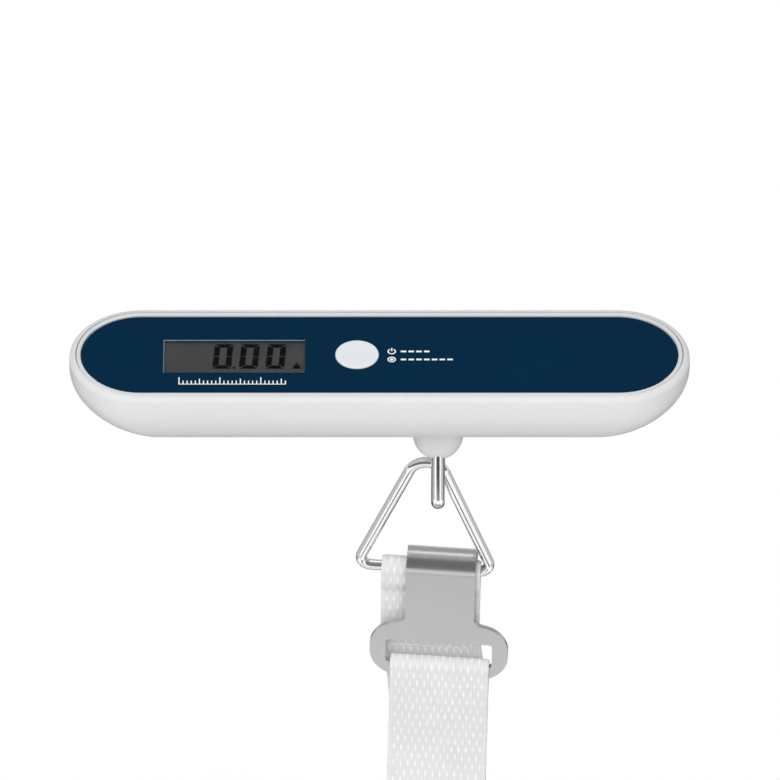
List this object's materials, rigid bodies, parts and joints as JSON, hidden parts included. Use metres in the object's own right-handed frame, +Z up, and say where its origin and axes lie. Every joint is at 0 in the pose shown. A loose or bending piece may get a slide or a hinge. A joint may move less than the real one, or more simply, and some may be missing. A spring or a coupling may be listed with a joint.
{
  "type": "digital luggage scale",
  "caption": "Hanging scale: bar handle with a flat display panel and push button, a wire hook under it, a triangular ring, and a webbing loop closed by a plate buckle.",
  "frame": {"origin": "The centre of the face panel's top surface, on the handle's long centre line, where the hand holds the handle.", "axes": "+X along the handle, to the right of the reader; -Y towards the reader; +Z up, out of the display. The hook, ring and strap hang along -Z."},
  "size_m": [0.152, 0.0354, 0.1736],
  "materials": {
    "shell_plastic": "moulded white ABS, softly glossy",
    "cover_plastic": "moulded white ABS, softly glossy",
    "panel_acrylic": "smooth navy sheet, satin gloss",
    "adhesive_film": "double-sided film",
    "display_window": "clear acrylic window",
    "lcd_glass": "grey reflective display glass",
    "inner_plastic": "black moulded plastic",
    "strip_rubber": "conductive rubber strip",
    "board_laminate": "green circuit laminate",
    "epoxy": "black epoxy dome",
    "chip_ceramic": "small ceramic parts",
    "screw_steel": "zinc-plated steel",
    "plunger_plastic": "red moulded plunger",
    "button_plastic": "white moulded cap, satin",
    "cell_steel": "stainless cell can",
    "contact_metal": "plated spring bronze",
    "load_cell_aluminium": "milled aluminium bar",
    "gauge_foil": "amber gauge film",
    "sealant_rubber": "white silicone",
    "wire_insulation": "thin insulated wire",
    "hook_steel": "nickel-plated wire",
    "plate_steel": "zinc-plated steel",
    "ring_steel": "nickel-plated wire",
    "buckle_steel": "nickel-plated sheet, satin",
    "webbing": "white woven webbing"
  },
  "bodies": {
    "handle": {"lower_shell": "shell_plastic", "top_cover": "cover_plastic", "face_panel": "panel_acrylic", "panel_adhesive": "adhesive_film", "display_lens": "display_window", "lcd_glass": "lcd_glass", "lcd_holder": "inner_plastic", "contact_strips": "strip_rubber", "circuit_board": "board_laminate", "controller_blob": "epoxy", "board_parts": "chip_ceramic", "board_screws": "screw_steel", "push_switch": "inner_plastic", "coin_cell": "cell_steel", "positive_contact": "contact_metal", "negative_contact": "contact_metal", "load_cell": "load_cell_aluminium", "load_cell_screws": "screw_steel", "strain_gauges": "gauge_foil", "gauge_sealant": "sealant_rubber", "load_cell_wires": "wire_insulation", "hook": "hook_steel", "hook_bridge": "plate_steel", "hook_nuts": "screw_steel", "cover_screws": "screw_steel"},
    "button": {"button_cap": "button_plastic", "switch_plunger": "plunger_plastic"},
    "battery_door": {"battery_door": "shell_plastic"},
    "ring": {"triangle_ring": "ring_steel"},
    "strap": {"strap_back": "webbing"},
    "buckle": {"plate_buckle": "buckle_steel", "strap_front": "webbing"}
  },
  "joints": [
    {"name": "button_press", "type": "slide", "parent": "handle", "child": "button", "axis": [0, 0, -1], "range_m": [0, 0.0006], "stiffness_N_per_m": 2000, "springref_m": -0.0002},
    {"name": "battery_door_off", "type": "slide", "parent": "handle", "child": "battery_door", "axis": [0, 0, -1], "range_m": [0, 0.02]},
    {"name": "ring_swing", "type": "hinge", "parent": "handle", "child": "ring", "pos_m": [0.01177, 0, -0.0359], "axis": [0.9968, -0.0784, -0.0175], "range_deg": [-22, 32]},
    {"name": "strap_swing", "type": "hinge", "parent": "ring", "child": "strap", "pos_m": [0.01121, 0.00005, -0.06814], "axis": [0.9968, -0.0784, -0.0175], "range_deg": [-70, 70]},
    {"name": "buckle_lift", "type": "slide", "parent": "strap", "child": "buckle", "axis": [-0.3602, 0.0283, 0.9325], "range_m": [0, 0.003]}
  ]
}
